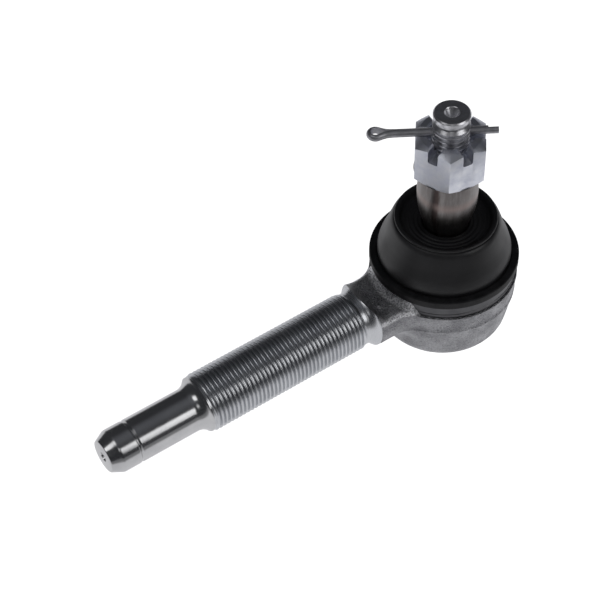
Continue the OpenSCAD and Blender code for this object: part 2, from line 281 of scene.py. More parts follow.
def build(name, parts, materials, part_materials=None):
    """One object from several lists of (points, faces) in millimetres, welded where they meet."""
    points, faces, indices = [], [], []
    for n, (part_points, part_faces) in enumerate(parts):
        base = len(points)
        points.extend(part_points)
        faces.extend(tuple(base + v for v in face) for face in part_faces)
        indices.extend([part_materials[n] if part_materials else 0] * len(part_faces))
    mesh = bpy.data.meshes.new(name)
    mesh.from_pydata([tuple(p) for p in points], [], faces)
    mesh.polygons.foreach_set("material_index", indices)
    bm = bmesh.new()
    bm.from_mesh(mesh)
    bmesh.ops.remove_doubles(bm, verts=bm.verts, dist=MERGE)
    bmesh.ops.dissolve_degenerate(bm, edges=bm.edges, dist=MERGE / 2)
    bmesh.ops.recalc_face_normals(bm, faces=bm.faces)
    bm.to_mesh(mesh)
    bm.free()
    mesh.transform(Matrix.Scale(MM, 4))
    for material in materials:
        mesh.materials.append(material)
    made = bpy.data.objects.new(name, mesh)
    bpy.context.scene.collection.objects.link(made)
    return made


def apply_modifiers(obj):
    """Turns what the modifiers make into the object's own mesh."""
    graph = bpy.context.evaluated_depsgraph_get()
    mesh = bpy.data.meshes.new_from_object(obj.evaluated_get(graph))
    obj.modifiers.clear()
    obj.data = mesh
    return obj


def combine(obj, other, operation):
    """Boolean of two closed meshes. The second one is used up."""
    modifier = obj.modifiers.new(operation, "BOOLEAN")
    modifier.operation = operation
    modifier.object = other
    modifier.solver = "MANIFOLD"
    apply_modifiers(obj)
    bpy.data.objects.remove(other)
    return obj


def soften(obj, width, segments=2, angle=40):
    """Rounds the edges that are sharper than the angle."""
    modifier = obj.modifiers.new("soft_edges", "BEVEL")
    modifier.width = width * MM
    modifier.segments = segments
    modifier.limit_method = "ANGLE"
    modifier.angle_limit = math.radians(angle)
    modifier.miter_outer = "MITER_ARC"
    return apply_modifiers(obj)


def shade(obj, sharp=35):
    """Smooth shading, with a hard line only at edges sharper than the angle."""
    mesh = obj.data
    mesh.polygons.foreach_set("use_smooth", [True] * len(mesh.polygons))
    mesh.set_sharp_from_angle(angle=math.radians(sharp))
    return obj


def place(obj, body, slot, *nodes):
    """Finishes a rigid piece: it rides on a body and stands for those CAD nodes."""
    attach(obj, body)
    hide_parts(*nodes)


# ---------------------------------------------------------------- materials


def add_node(tree, kind, inputs=None, **settings):
    """A shader node with its settings, and its inputs set or linked."""
    made = tree.nodes.new("ShaderNode" + kind)
    for key, value in settings.items():
        setattr(made, key, value)
    for key, value in (inputs or {}).items():
        if isinstance(value, bpy.types.NodeSocket):
            tree.links.new(value, made.inputs[key])
        else:
            made.inputs[key].default_value = value
    return made


def new_material(name, metallic, roughness, **sockets):
    """A Principled material. Keyword names are its sockets, with _ for a space."""
    material = bpy.data.materials.new(name)
    material.use_nodes = True
    tree = material.node_tree
    shader = tree.nodes["Principled BSDF"]
    shader.inputs["Metallic"].default_value = metallic
    shader.inputs["Roughness"].default_value = roughness
    for key, value in sockets.items():
        shader.inputs[key.replace("_", " ")].default_value = value
    return material, tree, shader


def object_place(tree):
    return add_node(tree, "TexCoord").outputs["Object"]


def stretched(tree, scale):
    """Object coordinates times a scale for each axis."""
    return add_node(tree, "Mapping", {"Vector": object_place(tree), "Scale": scale}).outputs["Vector"]


def noise_of(tree, vector, scale, detail=4.0, rough=0.55):
    made = add_node(tree, "TexNoise", {"Vector": vector, "Scale": scale, "Detail": detail,
                                       "Roughness": rough})
    return made.outputs["Fac"]


def ramp(tree, factor, *stops):
    """Colour from a factor, by stops of (position, colour)."""
    made = add_node(tree, "ValToRGB", {"Fac": factor})
    elements = made.color_ramp.elements
    while len(elements) < len(stops):
        elements.new(0.5)
    for element, (position, colour) in zip(elements, stops):
        element.position = position
        element.color = (*colour, 1)
    return made.outputs["Color"]


def spread(tree, value, low, high, to_low, to_high):
    """A value mapped from one range to another."""
    return add_node(tree, "MapRange", {"Value": value, "From Min": low, "From Max": high,
                                       "To Min": to_low, "To Max": to_high}).outputs["Result"]


def math_of(tree, operation, a, b=0.0):
    made = tree.nodes.new("ShaderNodeMath")
    made.operation = operation
    for socket, value in zip(made.inputs, (a, b)):
        if isinstance(value, bpy.types.NodeSocket):
            tree.links.new(value, socket)
        else:
            socket.default_value = value
    return made.outputs[0]


def mixed(tree, factor, a, b):
    """Colour a where the factor is 0 and colour b where it is 1."""
    made = tree.nodes.new("ShaderNodeMix")
    made.data_type = "RGBA"
    sockets = [s for s in made.inputs if s.enabled]
    for socket, value in zip(sockets, (factor, a, b)):
        if isinstance(value, bpy.types.NodeSocket):
            tree.links.new(value, socket)
        else:
            socket.default_value = (*value, 1)
    return [s for s in made.outputs if s.enabled][0]


def bump_to(tree, shader, height, strength, distance_mm):
    made = add_node(tree, "Bump", {"Height": height, "Strength": strength,
                                   "Distance": distance_mm * MM})
    tree.links.new(made.outputs["Normal"], shader.inputs["Normal"])


def forged_steel():
    """Grey shot-blasted forging: small dents all over, slow patches of tone, and brighter metal at
    the foot of the boot's ring and along the neck's shoulders: partly rubbed metal, partly a painted
    highlight."""
    material, tree, shader = new_material("forged_steel", 1.0, 0.5)
    place_ = object_place(tree)
    patches = noise_of(tree, place_, 160, 3)
    grains = noise_of(tree, place_, 1700, 4, 0.6)
    dents = add_node(tree, "TexVoronoi", {"Vector": place_, "Scale": 1900}).outputs["Distance"]
    tone = math_of(tree, "ADD", math_of(tree, "MULTIPLY", patches, 0.5),
                   math_of(tree, "MULTIPLY", grains, 0.5))
    colour = ramp(tree, tone, (0.36, (0.18, 0.18, 0.19)), (0.5, (0.31, 0.31, 0.325)),
                  (0.64, (0.47, 0.47, 0.485)))
    xyz = add_node(tree, "SeparateXYZ", {"Vector": place_}).outputs
    out = math_of(tree, "SQRT", math_of(tree, "ADD", math_of(tree, "MULTIPLY", xyz["X"], xyz["X"]),
                                        math_of(tree, "MULTIPLY", xyz["Y"], xyz["Y"])))
    # Near the ring's foot and on the neck's shoulder the colour goes almost white: partly rubbed metal,
    # partly a painted highlight band.
    near_ring = math_of(tree, "MULTIPLY", spread(tree, out, 27.0 * MM, 25.9 * MM, 0.0, 1.0),
                        spread(tree, xyz["Z"], 3.6 * MM, 4.6 * MM, 0.0, 1.0))
    shoulder = math_of(tree, "MULTIPLY", spread(tree, xyz["Z"], 2.6 * MM, 3.4 * MM, 0.0, 1.0),
                       spread(tree, xyz["Z"], 4.7 * MM, 4.3 * MM, 0.0, 1.0))
    rubbed_and_painted_highlight = math_of(tree, "MULTIPLY", math_of(tree, "MAXIMUM", near_ring, shoulder),
                     spread(tree, grains, 0.4, 0.6, 0.2, 1.0))
    tree.links.new(mixed(tree, rubbed_and_painted_highlight, colour, (0.95, 0.95, 0.97)), shader.inputs["Base Color"])
    tree.links.new(spread(tree, grains, 0.3, 0.7, 0.26, 0.44), shader.inputs["Roughness"])
    height = math_of(tree, "ADD", math_of(tree, "MULTIPLY", dents, 0.6), grains)
    bump_to(tree, shader, height, 1.0, 0.45)
    return material


def turned_steel(name, axis, low, high, rough_low, rough_high, mark_strength):
    """Steel turned on a lathe: fine rings round one axis, and a faint film of tone."""
    material, tree, shader = new_material(name, 1.0, rough_low)
    rings = [30.0, 30.0, 30.0]
    rings["XYZ".index(axis)] = 9000.0
    marks = noise_of(tree, stretched(tree, rings), 1.0, 3, 0.6)
    film = noise_of(tree, object_place(tree), 120, 4)
    colour = ramp(tree, film, (0.3, low), (0.7, high))
    tree.links.new(colour, shader.inputs["Base Color"])
    tree.links.new(spread(tree, marks, 0.25, 0.75, rough_low, rough_high), shader.inputs["Roughness"])
    bump_to(tree, shader, marks, mark_strength, 0.01)
    return material


def stud_steel():
    """Ground stud with a brown heat tint, a dark streak down one side that is a painted reflection, and a
    band near its foot.
    """
    material, tree, shader = new_material("stud_steel", 1.0, 0.3)
    place_ = object_place(tree)
    xyz = add_node(tree, "SeparateXYZ", {"Vector": place_})
    height = math_of(tree, "DIVIDE", xyz.outputs["Z"], MM)
    turn = math_of(tree, "DEGREES", math_of(tree, "ARCTAN2", xyz.outputs["Y"], xyz.outputs["X"]))
    marks = noise_of(tree, stretched(tree, (40, 40, 7000)), 1.0, 3, 0.6)
    smear = noise_of(tree, stretched(tree, (500, 500, 90)), 1.0, 4, 0.65)
    film = ramp(tree, smear, (0.3, (0.15, 0.135, 0.13)), (0.5, (0.2, 0.185, 0.18)),
                (0.7, (0.27, 0.255, 0.25)))
    # A dark brown streak down one side of the barrel: a painted reflection of a dark part of the studio.
    wander = math_of(tree, "MULTIPLY", math_of(tree, "SUBTRACT", smear, 0.5), 16.0)
    off_painted_reflection = math_of(tree, "ABSOLUTE",
                         math_of(tree, "ADD", math_of(tree, "ADD", turn, 153.0), wander))
    painted_reflection = spread(tree, off_painted_reflection, 3.0, 8.0, 0.85, 0.0)
    on_barrel = spread(tree, height, 48.0, 46.5, 0.0, 1.0)
    painted_reflection = math_of(tree, "MULTIPLY", painted_reflection, on_barrel)
    bright = ramp(tree, smear, (0.3, (0.58, 0.58, 0.60)), (0.7, (0.76, 0.76, 0.79)))
    film = mixed(tree, on_barrel, bright, film)
    tinted = mixed(tree, painted_reflection, film, (0.07, 0.05, 0.047))
    off_band = math_of(tree, "ABSOLUTE", math_of(tree, "SUBTRACT", height, 38.5))
    band = math_of(tree, "MULTIPLY", spread(tree, off_band, 0.4, 2.2, 0.5, 0.0), on_barrel)
    tree.links.new(mixed(tree, band, tinted, (0.32, 0.25, 0.23)), shader.inputs["Base Color"])
    threads = spread(tree, height, 47.0, 48.5, 0.34, 0.3)
    rough = math_of(tree, "ADD", threads, spread(tree, marks, 0.3, 0.7, -0.05, 0.06))
    tree.links.new(rough, shader.inputs["Roughness"])
    bump_to(tree, shader, math_of(tree, "ADD", marks, math_of(tree, "MULTIPLY", smear, 0.6)), 0.25, 0.02)
    return material


def zinc_plate():
    """Bright zinc on a cold-formed nut: faint cloudy patches and a fine grain."""
    material, tree, shader = new_material("zinc_plate", 1.0, 0.35)
    place_ = object_place(tree)
    clouds = noise_of(tree, place_, 260, 5, 0.6)
    grain = noise_of(tree, place_, 2600, 3, 0.6)
    colour = ramp(tree, clouds, (0.32, (0.65, 0.67, 0.76)), (0.5, (0.74, 0.76, 0.83)),
                  (0.68, (0.82, 0.83, 0.88)))
    tree.links.new(colour, shader.inputs["Base Color"])
    tree.links.new(spread(tree, clouds, 0.3, 0.7, 0.44, 0.3), shader.inputs["Roughness"])
    bump_to(tree, shader, math_of(tree, "ADD", grain, clouds), 0.3, 0.03)
    return material


def drawn_wire(name, low, high, roughness):
    """Dark drawn wire with fine scratches."""
    material, tree, shader = new_material(name, 1.0, roughness)
    place_ = object_place(tree)
    film = noise_of(tree, place_, 420, 5, 0.65)
    scratches = noise_of(tree, place_, 3200, 3, 0.7)
    tree.links.new(ramp(tree, film, (0.3, low), (0.7, high)), shader.inputs["Base Color"])
    tree.links.new(spread(tree, scratches, 0.3, 0.7, roughness - 0.07, roughness + 0.09),
                   shader.inputs["Roughness"])
    bump_to(tree, shader, scratches, 0.35, 0.02)
    return material


def moulded_rubber():
    """Black satin rubber: a fine moulded grain, faint bloom and some dust."""
    material, tree, shader = new_material("moulded_rubber", 0.0, 0.42, Specular_IOR_Level=0.55)
    place_ = object_place(tree)
    bloom = noise_of(tree, place_, 110, 4, 0.6)
    grain = noise_of(tree, place_, 2400, 4, 0.7)
    colour = ramp(tree, bloom, (0.35, (0.010, 0.010, 0.011)), (0.65, (0.017, 0.017, 0.019)),
                  (0.8, (0.026, 0.026, 0.028)))
    tree.links.new(colour, shader.inputs["Base Color"])
    tree.links.new(spread(tree, bloom, 0.3, 0.7, 0.36, 0.5), shader.inputs["Roughness"])
    bump_to(tree, shader, grain, 0.25, 0.03)
    return material


def black_coat():
    """Black coated steel ring, a little duller than the rubber."""
    material, tree, shader = new_material("black_coat", 0.0, 0.5, Specular_IOR_Level=0.22)
    place_ = object_place(tree)
    wear = noise_of(tree, place_, 300, 5, 0.6)
    grain = noise_of(tree, place_, 2000, 4, 0.7)
    colour = ramp(tree, wear, (0.4, (0.010, 0.010, 0.011)), (0.75, (0.024, 0.024, 0.026)))
    tree.links.new(colour, shader.inputs["Base Color"])
    tree.links.new(spread(tree, grain, 0.3, 0.7, 0.44, 0.62), shader.inputs["Roughness"])
    bump_to(tree, shader, grain, 0.3, 0.04)
    return material


def moulded_acetal():
    """Off-white bearing plastic with a waxy surface."""
    material, tree, shader = new_material("moulded_acetal", 0.0, 0.38, Subsurface_Weight=0.15)
    place_ = object_place(tree)
    cloud = noise_of(tree, place_, 180, 4)
    colour = ramp(tree, cloud, (0.3, (0.78, 0.74, 0.62)), (0.7, (0.88, 0.85, 0.76)))
    tree.links.new(colour, shader.inputs["Base Color"])
    tree.links.new(spread(tree, cloud, 0.3, 0.7, 0.32, 0.46), shader.inputs["Roughness"])
    bump_to(tree, shader, noise_of(tree, place_, 1600, 3), 0.2, 0.02)
    return material


def paint_cad_node(name, material):
    """A CAD node that stays takes a finished material."""
    mesh = frame["nodes"][name].data
    mesh.materials.clear()
    mesh.materials.append(material)


# ---------------------------------------------------------------- housing


def round_max(a, b, radius):
    """Signed distance to what two solids share, with the edge between them rounded."""
    return (np.minimum(np.maximum(a, b), -radius)
            + np.hypot(np.maximum(a + radius, 0), np.maximum(b + radius, 0)))


def round_min(a, b, radius):
    """Signed distance to two solids joined by a fillet."""
    return (np.maximum(np.minimum(a, b), radius)
            - np.hypot(np.maximum(radius - a, 0), np.maximum(radius - b, 0)))


def forging_distance(p):
    """Signed distance to the forged eye and neck: the side bows out, and the neck's top dips."""
    x, y, z = p[..., 0], p[..., 1], p[..., 2]
    side_z = FORGED_TOP_Z + SIDE_ARC_R * math.sin(SIDE_TOP_DRAFT)
    side_r = EYE_R - SIDE_ARC_R * math.cos(SIDE_TOP_DRAFT)
    side = np.hypot(np.hypot(x, y) - side_r, z - side_z) - SIDE_ARC_R
    eye = round_max(side, EYE_LOW_Z - z, EYE_CORNER_R)
    neck = np.maximum(np.hypot(y, z) - NECK_R, np.maximum(x, -x - NECK_END_X))
    neck_top = z - NECK_DIP_Z - NECK_RISE * np.maximum(-x - NECK_DIP_X, 0) ** 2
    web = round_max(round_min(eye, neck, WEB_FILLET_R), neck_top, 1.6)
    pip_x, pip_y, pip_r = -30.2, -4.0, 0.7
    pip = np.sqrt((x - pip_x) ** 2 + (y - pip_y) ** 2 + (z - NECK_DIP_Z) ** 2) - pip_r
    solid = round_min(eye, round_min(web, pip, 0.5), WEB_TOP_FILLET_R)
    by_neck = smooth_step((14 - np.abs(y)) / 4) * (x < 0)
    on_eye = smooth_step((x + 28) / 2)
    top = FORGED_TOP_Z + (WEB_TOP_Z - FORGED_TOP_Z) * by_neck
    return round_max(solid, z - (top * on_eye + (NECK_R + 1) * (1 - on_eye)), 0.35)


def slope_of(distance, points, step=0.02):
    """Gradient of a signed distance at the points."""
    axes = np.eye(3) * step
    return np.stack([(distance(points + a) - distance(points - a)) / (2 * step) for a in axes], axis=-1)


def forged_body():
    """Mesh of the forging, drawn on its exact surface, with its uneven skin and parting line."""
    low = np.array([-NECK_END_X - 2, -EYE_R - 3, EYE_LOW_Z - 2])
    high = np.array([EYE_R + 3, EYE_R + 3, NECK_R + 2])
    counts = np.ceil((high - low) / VOXEL).astype(int)
    places = np.stack(np.meshgrid(*[low[i] + VOXEL * np.arange(counts[i]) for i in range(3)],
                                  indexing="ij"), axis=-1)
    grid = openvdb.FloatGrid()
    grid.copyFromArray(forging_distance(places))
    points, quads = grid.convertToQuads(isovalue=0.0)
    points = points.astype(float) * VOXEL + low
    for _ in range(4):
        slope = slope_of(forging_distance, points)
        size = np.maximum((slope ** 2).sum(-1), 0.25)
        points -= (forging_distance(points) / size)[:, None] * slope
    normal = slope_of(forging_distance, points)
    normal /= np.linalg.norm(normal, axis=1)[:, None]
    turn = np.arctan2(points[:, 1], points[:, 0])
    line_z = PARTING_Z + 0.45 * np.sin(3 * turn + 0.6) + 0.2 * np.sin(8 * turn)
    upright = 1 - np.abs(normal[:, 2])
    flash_out, flash_half_width = 0.42, 0.38
    flash = flash_out * np.exp(-((points[:, 2] - line_z) / flash_half_width) ** 2) * upright
    waves = np.array([0.07 * noise.noise(Vector(p) * 0.22) + 0.03 * noise.noise(Vector(p) * 0.7)
                      for p in points])
    points += (flash + waves)[:, None] * normal
    return points, [tuple(q) for q in quads]


def turned_core():
    """Outline of the turned seat for the boot's ring, with the two fine grooves under it."""
    return [(0, -14), (20, -14), (22.4, 0), (24.1, 1.4), (24.1, 2.8), (24.25, 2.95), (24.25, 4.0),
            (24.1, 4.15), (24.1, 4.45), (24.25, 4.6), (24.3, 4.9), (24.3, RING_LOW.z),
            (SPIGOT_R, RING_LOW.z), (SPIGOT_R, EYE_TOP_Z - 0.3), (SPIGOT_R - 0.3, EYE_TOP_Z),
            (0, EYE_TOP_Z)]


def bore():
    """Outline of the hollow for the ball, its seats and the end cover, with the rolled lip under it."""
    lip_r = BORE_R - 1.6
    counterbore_r = BORE_R + 0.7
    cone_z = 4.2
    cover_z = COVER_HIGH.z
    cover_low_z = COVER_LOW.z + 0.7
    return [(0, EYE_LOW_Z - 1), (lip_r + 1.4, EYE_LOW_Z - 1),
            *arc(lip_r + 1.0, EYE_LOW_Z + 1.0, 1.0, 270, 180, 6),
            (lip_r, cover_low_z), (counterbore_r, cover_low_z), (counterbore_r, cover_z),
            (BORE_R, cover_z), (BORE_R, cone_z), (MOUTH_R, cone_z + BORE_R - MOUTH_R),
            (MOUTH_R, EYE_TOP_Z - 0.4), (MOUTH_R + 0.4, EYE_TOP_Z), (MOUTH_R + 0.4, EYE_TOP_Z + 1),
            (0, EYE_TOP_Z + 1)]


def flare_arc():
    """The fillet from the collar's edge down to the shank's relief."""
    turn = math.degrees(math.acos(1 - (COLLAR_R - RELIEF_R) / FLARE_R))
    relief_x = COLLAR_X + FLARE_R * math.sin(math.radians(turn))
    return arc(RELIEF_R + FLARE_R, relief_x, FLARE_R, 180 + turn, 180, 14)


def flare_cutter():
    """Outline of what the lathe takes off the forged neck, down to the flare and the relief."""
    flare = flare_arc()
    inner_r = RELIEF_R - 0.05
    end = NECK_END_X + 1
    return [(COLLAR_R, COLLAR_X - 0.25), *flare[1:-1], (inner_r, flare[-1][1]), (inner_r, end),
            (2 * COLLAR_R, end), (2 * COLLAR_R, COLLAR_X - 0.25)]


def shank_parts():
    """The turned shank along +Z, from inside the relief to its nose."""
    relief_x = flare_arc()[-1][1] - 0.1
    thread_start = THREAD_IN - RUN_IN
    thread_end = THREAD_OUT + 0.6
    shoulder_r = THREAD_R - 0.42
    fillet_rise = shoulder_r - PILOT_R
    run_out = PILOT_IN - thread_end - 0.5
    fillet_r = (run_out ** 2 + fillet_rise ** 2) / (2 * fillet_rise)
    fillet_turn = math.degrees(math.asin(run_out / fillet_r))
    inner = [(0, relief_x), (RELIEF_R, relief_x), (RELIEF_R, thread_start)]
    groove = 0.42
    nose_start = SHANK_LEN - NOSE_LEN
    outer = [(shoulder_r - 0.12, thread_end), (shoulder_r, thread_end + 0.12),
             (shoulder_r, thread_end + 0.4),
             *arc(PILOT_R + fillet_r, PILOT_IN, fillet_r, 180 + fillet_turn - 3, 180, 14),
             (PILOT_R, GROOVE_X - 0.62), (PILOT_R - 0.06, GROOVE_X - 0.5),
             (PILOT_R - groove, GROOVE_X - 0.12), (PILOT_R - groove, GROOVE_X + 0.12),
             (PILOT_R - 0.06, GROOVE_X + 0.5), (PILOT_R, GROOVE_X + 0.62),
             *spline([(PILOT_R, nose_start - 0.3), (PILOT_R - 0.12, nose_start + 0.2)], 3),
             (NOSE_R + 0.14, SHANK_LEN - 0.28), *arc(NOSE_R - 0.2, SHANK_LEN - 0.35, 0.35, 30, 90, 4),
             (1.6, SHANK_LEN), (0.8, SHANK_LEN - 2.4), (0, SHANK_LEN - 2.4)]
    thread = threaded(SHANK_PITCH, THREAD_R, thread_start, thread_end, RELIEF_R, shoulder_r - 0.12,
                      run_out=1.6)
    return [revolved(inner), thread, revolved(outer)]


def along_shank(parts):
    """Lays shapes drawn along +Z along the shank, which runs to -X."""
    turned = Matrix.Rotation(math.radians(-90), 3, "Y")
    return [(np.array(points) @ np.array(turned).T, faces) for points, faces in parts]


def make_housing(forged, satin, polished, matt):
    steels = [forged, satin, polished, matt]
    housing = build("housing_forging", [forged_body()], steels, [0])
    # The turned seat and the bore take the satin steel, whose very dark colour is painted shade.
    combine(housing, build("core", [revolved(turned_core())], steels, [1]), "UNION")
    flare = build("flare", along_shank([revolved(flare_cutter(), True)]), steels, [3])
    combine(housing, flare, "DIFFERENCE")
    combine(housing, build("shank", along_shank(shank_parts()), steels, [3, 3, 2]), "UNION")
    combine(housing, build("bore", [revolved(bore())], steels, [1]), "DIFFERENCE")
    place(shade(housing, 30), "housing", "forging", "housing")


# ---------------------------------------------------------------- stud, nut and pin


def pin_place():
    """Puts what is drawn along +X round the origin where the pin lies."""
    return Matrix.Translation((0, 0, PIN_Z * MM)) @ Matrix.Rotation(PIN_TURN, 4, "Z")


def pin_hole():
    """A round cutter along the pin's direction."""
    reach = 30
    outline = [(0, -reach), (PIN_HOLE_R, -reach), (PIN_HOLE_R, reach), (0, reach)]
    cutter = build("pin_hole", [revolved(outline, segments=32)], [])
    cutter.data.transform(pin_place() @ Matrix.Rotation(math.radians(90), 4, "Y"))
    return cutter


def stud_outline():
    """The stud's two plain stretches, under and over its thread."""
    bend = math.acos(1 - (BARREL_R - NECK_OF_STUD_R) / (BARREL_CURVE_R + STUD_FILLET_R))
    foot_z = BARREL_Z - BARREL_CURVE_R * math.sin(bend)
    neck_z = foot_z - STUD_FILLET_R * math.sin(bend)
    bend = math.degrees(bend)
    flat = math.degrees(math.asin(STUD_LOW.z / BALL_R))
    leave = math.degrees(math.acos(NECK_OF_STUD_R / BALL_R))
    cone_top_r = BARREL_R - (SHOULDER_Z - CONE_Z) / (2 * CONE_RATE)
    root_r = STUD_R - STUD_PITCH * DEPTH_OF_PITCH
    below = [(0, STUD_LOW.z), *arc(0, 0, BALL_R, flat, leave, 40),
             *arc(NECK_OF_STUD_R + STUD_FILLET_R, neck_z, STUD_FILLET_R, 180, 180 - bend, 6),
             *arc(BARREL_R - BARREL_CURVE_R, BARREL_Z, BARREL_CURVE_R, -bend, 0, 10),
             (BARREL_R, CONE_Z), (cone_top_r, SHOULDER_Z - 0.8), (cone_top_r - 0.25, SHOULDER_Z - 0.25),
             (cone_top_r - 0.8, SHOULDER_Z), (root_r, SHOULDER_Z)]
    top = STUD_HIGH.z
    ring_z = top - TIP_RING_LEN
    cone_z = STUD_CREST_Z + STUD_R - UNDERCUT_R
    above = [(STUD_R, STUD_CREST_Z), (UNDERCUT_R + 0.25, cone_z - 0.25), (UNDERCUT_R, cone_z + 0.2),
             (UNDERCUT_R, ring_z - 0.3), (UNDERCUT_R + 0.2, ring_z - 0.1), (STUD_R - 0.15, ring_z),
             (STUD_R, ring_z + 0.15), (STUD_R, top - 0.5), (STUD_R - 0.08, top - 0.38), (STUD_R - 0.45, top),
             (DRILL_R + 0.15, top), (DRILL_R, top - 0.1), (0.75, top - DRILL_DEPTH + 0.1),
             (0.6, top - DRILL_DEPTH), (0.6, top - DRILL_DEPTH - 1), (0, top - DRILL_DEPTH - 1)]
    return below, above


def make_stud(steel):
    below, above = stud_outline()
    thread = threaded(STUD_PITCH, STUD_R, SHOULDER_Z, STUD_CREST_Z, below[-1][0], STUD_R, 0.5)
    stud = build("ball_stud_turned", [revolved(below), thread, revolved(above)], [steel])
    combine(stud, pin_hole(), "DIFFERENCE")
    place(shade(stud, 32), "stud", "machined_steel", "ball_stud")


def nut_blank(zinc):
    """Hexagon with a 30 degree chamfer at both ends, as a grid round its axis."""
    near_corner = [0, 0.6, 1.4, 4]
    steps = near_corner + list(range(8, 53, 4)) + [60 - a for a in near_corner[:0:-1]]
    turn = np.radians([60 * side + step for side in range(6) for step in steps])
    columns = len(turn)
    flat = NUT_CORNER_R * math.cos(math.radians(30))
    across = flat / np.cos(turn % math.radians(60) - math.radians(30))
    slope = math.tan(math.radians(30))
    low, high = NUT_LOW.z, NUT_HIGH.z
    rows = [(0, low), (NUT_FOOT_R, low), (across, low + (across - NUT_FOOT_R).clip(0) * slope),
            (across, high - (across - NUT_TOP_R) * slope), (NUT_TOP_R, high), (0, high)]
    points = np.array([[(r * math.cos(t + NUT_TURN), r * math.sin(t + NUT_TURN), z)
                        for r, z, t in zip(radius + 0 * turn, height + 0 * turn, turn)]
                       for radius, height in rows])
    return build("castle_nut_plated", [(points.reshape(-1, 3), grid_faces(len(rows), columns))], [zinc])


def nut_slot(angle):
    """A cutter for one pair of opposite slots, with a rounded floor."""
    floor, corner = NUT_HIGH.z - SLOT_DEPTH, 0.6
    half, reach, over = SLOT_W / 2, 16, NUT_HIGH.z + 2
    section = [(half + SLOT_LEAD + 2, over), (half, NUT_HIGH.z - SLOT_LEAD),
               *arc(half - corner, floor + corner, corner, 0, -90, 4),
               *arc(corner - half, floor + corner, corner, -90, -180, 4),
               (-half, NUT_HIGH.z - SLOT_LEAD), (-half - SLOT_LEAD - 2, over)]
    n = len(section)
    points = [(x, y, z) for x in (-reach, reach) for y, z in section]
    faces = [tuple(range(n)), tuple(range(n, 2 * n))]
    faces += [(i, (i + 1) % n, n + (i + 1) % n, n + i) for i in range(n)]
    cutter = build("slot", [(points, faces)], [])
    cutter.data.transform(Matrix.Rotation(angle, 4, "Z"))
    return cutter


def nut_bore():
    """The nut's thread as a cutter, a little clear of the stud's, with a countersink at both ends."""
    low, high = NUT_LOW.z, NUT_HIGH.z
    root_r = STUD_R - STUD_PITCH * DEPTH_OF_PITCH + THREAD_GAP
    wide = STUD_R + 0.6
    start = SHOULDER_Z + STUD_PITCH
    thread = threaded(STUD_PITCH, STUD_R, start, CROWN_LOW_Z, root_r, STUD_R, 0.4, THREAD_GAP)
    foot = [(0, low - 1), (wide, low - 1), (wide, low), (root_r, start)]
    mouth = [(STUD_R, CROWN_LOW_Z), (CROWN_BORE_R, CROWN_LOW_Z + 1.2), (CROWN_BORE_R, high - 0.3),
             (CROWN_BORE_R + 0.3, high), (CROWN_BORE_R + 1.3, high + 1), (0, high + 1)]
    return build("nut_bore", [revolved(foot), thread, revolved(mouth)], [])


def make_nut(zinc):
    nut = soften(nut_blank(zinc), 0.25, 3, 25)
    for i in range(3):
        combine(nut, nut_slot(NUT_TURN + math.radians(30 + 60 * i)), "DIFFERENCE")
    combine(nut, nut_bore(), "DIFFERENCE")
    place(shade(nut, 14), "stud", "zinc_steel", "castle_nut")


def pin_path():
    """Inner line of the bent wire: along one leg, round the eye and back along the other."""
    reach = PIN_EYE_S + 3.3
    tangent = math.degrees(math.acos(PIN_EYE_R / (reach - PIN_EYE_S)))
    loop = arc(PIN_EYE_S, 0, PIN_EYE_R, tangent, 360 - tangent, 22)
    legs_start = reach + 1.0
    out = [(s, PIN_SPLIT) for s in np.linspace(SHORT_LEG, legs_start, 24)]
    back = [(s, -PIN_SPLIT) for s in np.linspace(legs_start, LONG_LEG, 26)]
    join = [(reach - 1.0, 0.42), (reach - 0.1, 0.16)]
    path = np.array(out + join[::-1] + loop + [(s, -t) for s, t in join] + back)
    for _ in range(3):
        path[1:-1] = 0.25 * path[:-2] + 0.5 * path[1:-1] + 0.25 * path[2:]
    return path


def make_pin(wire):
    """Half-round wire swept along its path, with its flat side inwards."""
    path = pin_path()
    along = np.gradient(path, axis=0)
    along /= np.linalg.norm(along, axis=1)[:, None]
    outward = np.stack([-along[:, 1], along[:, 0]], axis=-1)
    if outward[0][1] < 0:
        outward = -outward
    section = [(0.0, -PIN_R + 0.1), *arc(0, 0, PIN_R, -84, 84, 12), (0.0, PIN_R - 0.1)]
    rows = np.array([[(p[0] + out * o[0], p[1] + out * o[1], up) for out, up in section]
                     for p, o in zip(path, outward)])
    points = rows.reshape(-1, 3)
    faces = grid_faces(len(path), len(section))
    faces += [tuple(range(len(section))), tuple(range(len(points) - len(section), len(points)))]
    pin = build("split_pin_wire", [(points, faces)], [wire])
    pin.data.transform(pin_place())
    place(shade(pin, 40), "stud", "wire_steel", "split_pin")


# ---------------------------------------------------------------- boot


def dome_line():
    """Outer line of the rubber dome from its base to the crease under its rim."""
    return spline([(22.25, RING_HIGH.z - 1.0), (22.35, 11.6), (22.15, 13.2), (21.55, 15.2),
                   (20.75, 17.2), (19.98, 19.1), (19.25, 21.1), (18.6, 22.9), (18.0, 24.4),
                   (17.35, 25.3), (16.75, CREASE_Z)], 8)


def wall(line):
    """A closed wall outline: the line outside, and the same line moved in by the rubber's thickness."""
    line = np.array(line)
    along = np.gradient(line, axis=0)
    along /= np.linalg.norm(along, axis=1)[:, None]
    inner = line - BOOT_T * np.stack([along[:, 1], -along[:, 0]], axis=-1)
    return [tuple(p) for p in line] + [tuple(p) for p in inner[::-1]]


